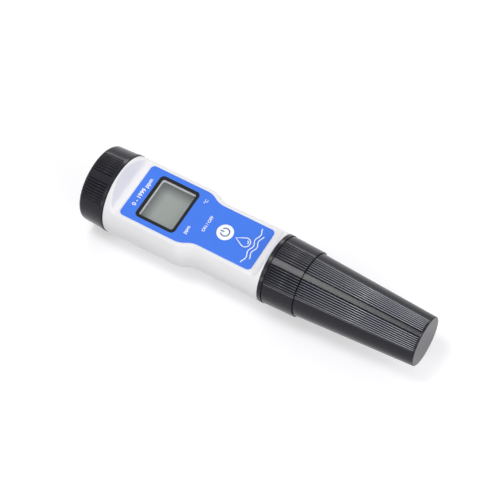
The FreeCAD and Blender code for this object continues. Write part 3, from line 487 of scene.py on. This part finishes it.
def printed_words(name, words, x, y, capital, weight):
    """Words centred on a place of the label, with capitals that high."""
    curve = bpy.data.curves.new(name, "FONT")
    curve.body = words
    curve.align_x = "CENTER"
    curve.align_y = "CENTER"
    curve.size = capital / CAPITAL_SHARE
    curve.offset = weight
    curve.extrude = INK / 2
    curve.resolution_u = 6
    source = put(name + "_line", curve)
    bpy.context.view_layer.update()
    mesh = bpy.data.meshes.new_from_object(source)
    bpy.data.objects.remove(source)
    mesh.transform(Matrix(((0, -1, 0, x), (1, 0, 0, y), (0, 0, 1, PRINT_LEVEL + INK / 2),
                           (0, 0, 0, 1))))
    mesh.materials.clear()
    mesh.materials.append(WHITE_INK)
    made = put(name, mesh)
    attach(made, "body")


def print_all_words():
    """The range over the window, the units under it and the words over the key."""
    for name, words, x, y, capital, weight in LABEL_WORDS:
        printed_words(name, words, x, y, capital * MM, weight * MM)


def stroke(points, width, level, closed=False):
    """A printed line of that width through points (x, y), with its underside at that level."""
    count = len(points)
    rings = []
    for i, point in enumerate(points):
        before = points[(i - 1) % count] if closed or i else point
        after = points[(i + 1) % count] if closed or i < count - 1 else point
        along = (Vector(after) - Vector(before)).normalized()
        side = Vector((-along.y, along.x)) * width / 2
        left = Vector(point) + side
        right = Vector(point) - side
        rings.append([(right.x, right.y, level), (left.x, left.y, level),
                      (left.x, left.y, level + INK), (right.x, right.y, level + INK)])
    if closed:
        rings.append(rings[0])
    return tube_of(rings, not closed)


def arc(centre, radius, start, end, steps):
    """Points on an arc, its angles in degrees from the tops' direction, -X, towards +Y."""
    points = []
    for i in range(steps + 1):
        angle = math.radians(start + (end - start) * i / steps)
        points.append((centre[0] - radius * math.cos(angle), centre[1] + radius * math.sin(angle)))
    return points


FRAME_BORDER = 1.6 * MM     # the black frame's width
BEZEL_CORNER = 1.1 * MM
BEZEL_SLOPE = 0.1 * MM
BEZEL_SILL = 0.1 * MM
CORNER_STEPS = 6


def bezel_ring(level, inset):
    """A rounded rectangle that far in from the black frame's inner edge, at that level."""
    low = (FRAME_LOW.x + FRAME_BORDER + inset, FRAME_LOW.y + FRAME_BORDER + inset)
    high = (FRAME_HIGH.x - FRAME_BORDER - inset, FRAME_HIGH.y - FRAME_BORDER - inset)
    ring = []
    for k, (x, y) in enumerate((high, (low[0], high[1]), low, (high[0], low[1]))):
        middle_x = x + (-BEZEL_CORNER if k in (0, 3) else BEZEL_CORNER)
        middle_y = y + (-BEZEL_CORNER if k in (0, 1) else BEZEL_CORNER)
        for step in range(CORNER_STEPS + 1):
            angle = math.radians(90 * k + 90 * step / CORNER_STEPS)
            ring.append((middle_x + BEZEL_CORNER * math.cos(angle),
                         middle_y + BEZEL_CORNER * math.sin(angle), level))
    return ring


def window_bezel():
    """The white moulded rim under the clear window, which slopes in to the display."""
    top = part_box("display_window")[0].z
    foot = FILM_HIGH.z
    rings = [bezel_ring(level, inset)
             for level, inset in ((top, 0.0), (foot + BEZEL_SILL, BEZEL_SLOPE),
                                  (foot, BEZEL_SLOPE), (foot, 0.0))]
    points, faces = tube_of(rings + rings[:1], False)
    # the rim takes the key's whiter ABS: a painted highlight, lighter than the housing's white
    piece("window_bezel", points, faces, KEY_WHITE, "body", True)


DROP_X = BUTTON_MIDDLE.x + 11.5 * MM
DROP_LINE = 0.5 * MM
DROP_BELLY = 2.5 * MM
DROP_TIP = 5.4 * MM
GLINT_INSET = 1.1 * MM
GLINT_ARC = (110, 190)
WAVE_LENGTH = 7.0 * MM
WAVE_HEIGHT = 0.55 * MM
WAVE_STEPS = 24
# the two waves: how far below the drop each is, and how many lengths it has
WAVE_ROWS = ((1.5 * MM, 3), (3.4 * MM, 2))


def print_drop():
    """A plain water drop over two waves, in white outline."""
    centre = (DROP_X, 0)
    # the sides leave the round belly where a line from the tip just touches it
    lean = math.degrees(math.acos(DROP_BELLY / DROP_TIP))
    drop = [(centre[0] - DROP_TIP, centre[1])]
    drop += arc(centre, DROP_BELLY, lean, 360 - lean, ARC_STEPS)
    glint = arc(centre, DROP_BELLY - GLINT_INSET, *GLINT_ARC, 12)
    parts = [stroke(drop, DROP_LINE, PRINT_LEVEL, True), stroke(glint, DROP_LINE, PRINT_LEVEL)]
    for gap, waves in WAVE_ROWS:
        across = waves * WAVE_LENGTH
        steps = waves * WAVE_STEPS
        base = centre[0] + DROP_BELLY + gap
        points = []
        for i in range(steps + 1):
            run = across * i / steps - across / 2
            points.append((base + WAVE_HEIGHT * math.cos(2 * math.pi * run / WAVE_LENGTH), run))
        parts.append(stroke(points, DROP_LINE, PRINT_LEVEL))
    points, faces = joined(parts)
    piece("printed_drop_sign", points, faces, WHITE_INK, "body")


SIGN_RING = 2.2 * MM
SIGN_LINE = 0.65 * MM
SIGN_HALF_GAP = 33      # degrees
BAR_PAST_RING = 0.3 * MM
BAR_FOOT = 0.5 * MM


def print_power_sign():
    """The plain on-off sign on the key: an open ring with a bar in its gap."""
    centre = (BUTTON_MIDDLE.x, BUTTON_MIDDLE.y)
    level = BUTTON_HIGH.z
    ring = arc(centre, SIGN_RING, SIGN_HALF_GAP, 360 - SIGN_HALF_GAP, ARC_STEPS)
    bar = [(centre[0] - SIGN_RING - BAR_PAST_RING, centre[1]), (centre[0] - BAR_FOOT, centre[1])]
    points, faces = joined([stroke(ring, SIGN_LINE, level), stroke(bar, SIGN_LINE, level)])
    piece("printed_power_sign", points, faces, SLATE_INK, "key")


# Screw threads on the two necks

THREAD_HEIGHT = 0.27 * MM
THREAD_STEPS = 64       # of one turn
THREAD_FADE = 0.12      # the share of its way over which a thread runs out
THREAD_SUNK = -0.1 * MM
BATTERY_NECK_RADIUS = 18.25 * MM
BATTERY_THREAD_PITCH = 2.5 * MM
COLLAR_NECK_RADIUS = 15.6 * MM
COLLAR_THREAD_PITCH = 3.0 * MM


def thread(name, start, end, root, pitch):
    """A right-hand thread ridge round a neck that runs out softly at both ends."""
    turns = (end - start) / pitch
    steps = round(turns * THREAD_STEPS)
    foot = pitch * 0.3
    crest = pitch * 0.1
    rings = []
    for i in range(steps + 1):
        share = i / steps
        x = start + (end - start) * share
        angle = 2 * math.pi * turns * share
        rise = THREAD_HEIGHT * min(1, share / THREAD_FADE, (1 - share) / THREAD_FADE)
        section = [(-foot, THREAD_SUNK), (-foot, 0), (-crest, rise), (crest, rise), (foot, 0),
                   (foot, THREAD_SUNK)]
        rings.append([(x + along, (root + out) * math.cos(angle),
                       AXIS_HEIGHT + (root + out) * math.sin(angle)) for along, out in section])
    points, faces = tube_of(rings)
    piece(name, points, faces, WHITE_ABS, "body")


def cut_threads():
    """The threads of the two necks, each between the neck's free end and its shoulder."""
    thread("battery_neck_thread", HOUSING_LOW.x + 1.6 * MM, CAP_HIGH.x - 4.0 * MM,
           BATTERY_NECK_RADIUS, BATTERY_THREAD_PITCH)
    thread("collar_neck_thread", COLLAR_LOW.x + 1.5 * MM, HOUSING_HIGH.x - 1.6 * MM,
           COLLAR_NECK_RADIUS, COLLAR_THREAD_PITCH)


# Legs of the controller chip

LEG_WIDTH = 0.3 * MM
LEG_THICKNESS = 0.12 * MM
LEG_PITCH = 0.75 * MM
LEGS_A_SIDE = 10
# a leg's path as distances out from the chip's side and up from the board, with the way its upper
# face lies off it there
LEG_PATH = ((-0.2, 0.6, 0.0), (0.35, 0.6, 0.7), (0.55, 0.06, 0.7), (1.0, 0.06, 0.0))


def chip_legs():
    """Bent legs along two sides of the controller chip, soldered down on the board."""
    centre = middle(CHIP_LOW, CHIP_HIGH)
    half_thickness = LEG_THICKNESS / 2
    parts = []
    for side, edge in ((-1, CHIP_LOW.y), (1, CHIP_HIGH.y)):
        for k in range(LEGS_A_SIDE):
            x = centre.x + (k - (LEGS_A_SIDE - 1) / 2) * LEG_PITCH
            rings = []
            for out, up, slant in LEG_PATH:
                y = edge + side * out * MM
                z = CHIP_LOW.z + up * MM
                lean = side * slant * half_thickness
                rings.append([(x - LEG_WIDTH / 2, y - lean, z - half_thickness),
                              (x + LEG_WIDTH / 2, y - lean, z - half_thickness),
                              (x + LEG_WIDTH / 2, y + lean, z + half_thickness),
                              (x - LEG_WIDTH / 2, y + lean, z + half_thickness)])
            parts.append(tube_of(rings))
    points, faces = joined(parts)
    piece("controller_chip_legs", points, faces, SOLDER, "body")


# Crests of the ribs

RIB_PITCH = 4.25            # degrees from groove to groove
STRIP_HALF_ANGLE = 4.7      # degrees from a smooth strip's middle to the first groove
BATTERY_STRIP_ANGLE = 17.7
BATTERY_GROOVES = 8
LOWER_STRIP_ANGLE = 15.0
LOWER_GROOVES = 9
# half of a rounded crest, as distances to its side and above the solid's face in millimetres
CREST_PROFILE = ((0.0, 0.09), (0.08, 0.082), (0.15, 0.055), (0.2, 0.01), (0.23, -0.05),
                 (0.24, -0.2))


def rib_crests(name, body, ends, insets, radii, strip, grooves, material):
    """Crests between the grooves of a ribbed piece. Each of its ends has an inset and the radius of
    its face, in millimetres. The smooth strip's middle is in degrees from the top towards -Y, and
    the pattern repeats half a turn further round."""
    stations = ((ends[0] + insets[0] * MM, radii[0] * MM),
                (ends[1] - insets[1] * MM, radii[1] * MM))
    widest = max(radii) * MM
    profile = [(-aside, lift) for aside, lift in reversed(CREST_PROFILE)] + list(CREST_PROFILE[1:])
    parts = []
    for half in (0, 180):
        for side in (-1, 1):
            for k in range(1, grooves):
                centre = strip + half + side * (STRIP_HALF_ANGLE + RIB_PITCH * k)
                rings = []
                for x, radius in stations:
                    ring = []
                    for aside, lift in profile:
                        reach = radius + lift * MM
                        angle = math.radians(centre) + aside * MM / widest
                        ring.append((x, -reach * math.sin(angle),
                                     AXIS_HEIGHT + reach * math.cos(angle)))
                    rings.append(ring)
                parts.append(tube_of(rings))
    points, faces = joined(parts)
    made = piece(name, points, faces, material, body, True)
    for face in made.data.polygons:
        face.use_smooth = len(face.vertices) == 4


def crest_the_ribs():
    """The battery cap, the collar and the protective cap share one pattern of ribs."""
    lid_low, lid_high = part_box("protective_cap")
    rib_crests("battery_cap_rib_crests", "battery_cap", (CAP_LOW.x, CAP_HIGH.x), (2.4, 1.75),
               (20.28, 20.63), BATTERY_STRIP_ANGLE, BATTERY_GROOVES, BLACK_ABS)
    rib_crests("collar_rib_crests", "collar", (COLLAR_LOW.x, COLLAR_HIGH.x), (2.3, 0.1),
               (17.8, 17.25), LOWER_STRIP_ANGLE, LOWER_GROOVES, COLLAR_CREST_PAINTED_HIGHLIGHT)
    rib_crests("protective_cap_rib_crests", "protective_cap", (lid_low.x, lid_high.x), (0.1, 1.1),
               (16.45, 12.96), LOWER_STRIP_ANGLE, LOWER_GROOVES, CAP_CREST_PAINTED_HIGHLIGHT)


window_bezel()
crest_the_ribs()
chip_legs()
print_all_words()
print_drop()
print_power_sign()
cut_threads()


# Studio


def lamp(name, place_m, target, width, depth, watts):
    """A soft rectangular lamp that faces a target."""
    light = bpy.data.lights.new(name, "AREA")
    light.shape = "RECTANGLE"
    light.size = width
    light.size_y = depth
    light.energy = watts
    made = put(name, light)
    made.location = place_m
    made.rotation_euler = (Vector(target) - Vector(place_m)).to_track_quat("-Z", "Y").to_euler()


def seen_directly(tree):
    """1 for rays from the camera, from gloss and through glass, else 0."""
    path = add(tree, "ShaderNodeLightPath")
    gloss = add(tree, "ShaderNodeMath", {"operation": "MAXIMUM"},
                {0: (path, "Is Camera Ray"), 1: (path, "Is Glossy Ray")})
    return add(tree, "ShaderNodeMath", {"operation": "MAXIMUM"},
               {0: (gloss, "Value"), 1: (path, "Is Transmission Ray")})


def show_by_ray(tree, others, seen, output):
    """One shader for the rays that see the thing directly and another for all others."""
    mix = add(tree, "ShaderNodeMixShader",
              links={0: (seen_directly(tree), "Value"), 1: others, 2: seen})
    add(tree, output, links={"Surface": (mix, "Shader")})


WHITE = linear("#ffffff")
FILL_STRENGTH = 0.3
BACKDROP_STRENGTH = 1.0
FLOOR_GLOW = 0.33


def surround():
    """A white surround that lights the object only a little."""
    world = bpy.data.worlds.new("studio")
    scene.world = world
    world.use_nodes = True
    tree = world.node_tree
    tree.nodes.clear()
    fill = add(tree, "ShaderNodeBackground", {"Color": WHITE, "Strength": FILL_STRENGTH})
    backdrop = add(tree, "ShaderNodeBackground",
                   {"Color": WHITE, "Strength": BACKDROP_STRENGTH})
    show_by_ray(tree, (fill, "Background"), (backdrop, "Background"), "ShaderNodeOutputWorld")


FLOOR_REACH = 2.5
FLOOR_GAP = 0.05 * MM


def lay_floor():
    """A plain pale floor just under the object, which keeps the object's shadow."""
    material = bpy.data.materials.new("pale_floor")
    material.use_nodes = True
    tree = material.node_tree
    tree.nodes.clear()
    paper = add(tree, "ShaderNodeBsdfDiffuse", {"Color": linear("#acacae")})
    seen_paper = add(tree, "ShaderNodeBsdfDiffuse", {"Color": linear("#e4e4e6")})
    glow = add(tree, "ShaderNodeEmission", {"Color": WHITE, "Strength": FLOOR_GLOW})
    lift = add(tree, "ShaderNodeAddShader", links={0: (seen_paper, "BSDF"), 1: (glow, "Emission")})
    show_by_ray(tree, (paper, "BSDF"), (lift, "Shader"), "ShaderNodeOutputMaterial")
    corners = [(-FLOOR_REACH, -FLOOR_REACH, 0), (FLOOR_REACH, -FLOOR_REACH, 0),
               (FLOOR_REACH, FLOOR_REACH, 0), (-FLOOR_REACH, FLOOR_REACH, 0)]
    mesh = bpy.data.meshes.new("floor")
    mesh.from_pydata(corners, [], [(0, 1, 2, 3)])
    mesh.materials.append(material)
    floor = put("floor", mesh)
    floor.location.z = cad_box[0][2] - FLOOR_GAP


# Lamps overhead, behind and low at the side give the smooth strips and the rib crests their shine,
# and a wide one in front lights the ramps. Each has its place, width and depth in metres, and its
# watts.
LAMPS = (
    ("top_lamp", (-0.155, -0.095, 0.9), 0.26, 0.24, 2.4),
    ("side_lamp", (-0.2, -0.75, 0.7), 0.6, 0.3, 1.3),
    ("low_lamp", (-0.13, -0.9, 0.25), 0.6, 0.14, 1.8),
    ("rear_lamp", (-0.2, 0.8, 0.4), 0.7, 0.25, 3.2),
    ("front_lamp", (0.85, -0.15, 0.45), 0.7, 0.5, 4.4),
)


def studio():
    """The surround, the floor and the lamps, all aimed at the meter's middle."""
    scene.view_settings.view_transform = "Standard"
    surround()
    lay_floor()
    for name, place_m, width, depth, watts in LAMPS:
        lamp(name, place_m, (0, 0, AXIS_HEIGHT), width, depth, watts)


# The camera's place was solved from the photograph's outlines: where it stands round the meter's
# middle, its roll, and how far that middle lies off the picture's.
CAMERA_AZIMUTH = math.radians(38.886)
CAMERA_ELEVATION = math.radians(60.054)
CAMERA_ROLL = math.radians(-8.737)
CAMERA_RIGHT = -3.84 * MM
CAMERA_UP = 4.44 * MM
CAMERA_DISTANCE = 893.18 * MM
FOCAL_PIXELS = 1835.4
IMAGE_PIXELS = 500
SENSOR_MM = 36.0


def camera():
    """The camera at the photograph's viewing angle."""
    level = math.cos(CAMERA_ELEVATION)
    back = Vector((math.sin(CAMERA_AZIMUTH) * level, -math.cos(CAMERA_AZIMUTH) * level,
                   math.sin(CAMERA_ELEVATION)))
    right = Vector((math.cos(CAMERA_AZIMUTH), math.sin(CAMERA_AZIMUTH), 0))
    up = back.cross(right)
    rolled_right = right * math.cos(CAMERA_ROLL) + up * math.sin(CAMERA_ROLL)
    rolled_up = up * math.cos(CAMERA_ROLL) - right * math.sin(CAMERA_ROLL)
    data = bpy.data.cameras.new("camera")
    data.sensor_width = SENSOR_MM
    data.lens = FOCAL_PIXELS * SENSOR_MM / IMAGE_PIXELS
    made = put("camera", data)
    turn = Matrix((rolled_right, rolled_up, back)).transposed().to_4x4()
    spot = (Vector((0, 0, AXIS_HEIGHT)) + rolled_right * CAMERA_RIGHT + rolled_up * CAMERA_UP
            + back * CAMERA_DISTANCE)
    made.matrix_world = Matrix.Translation(spot) @ turn
    scene.camera = made


studio()
camera()
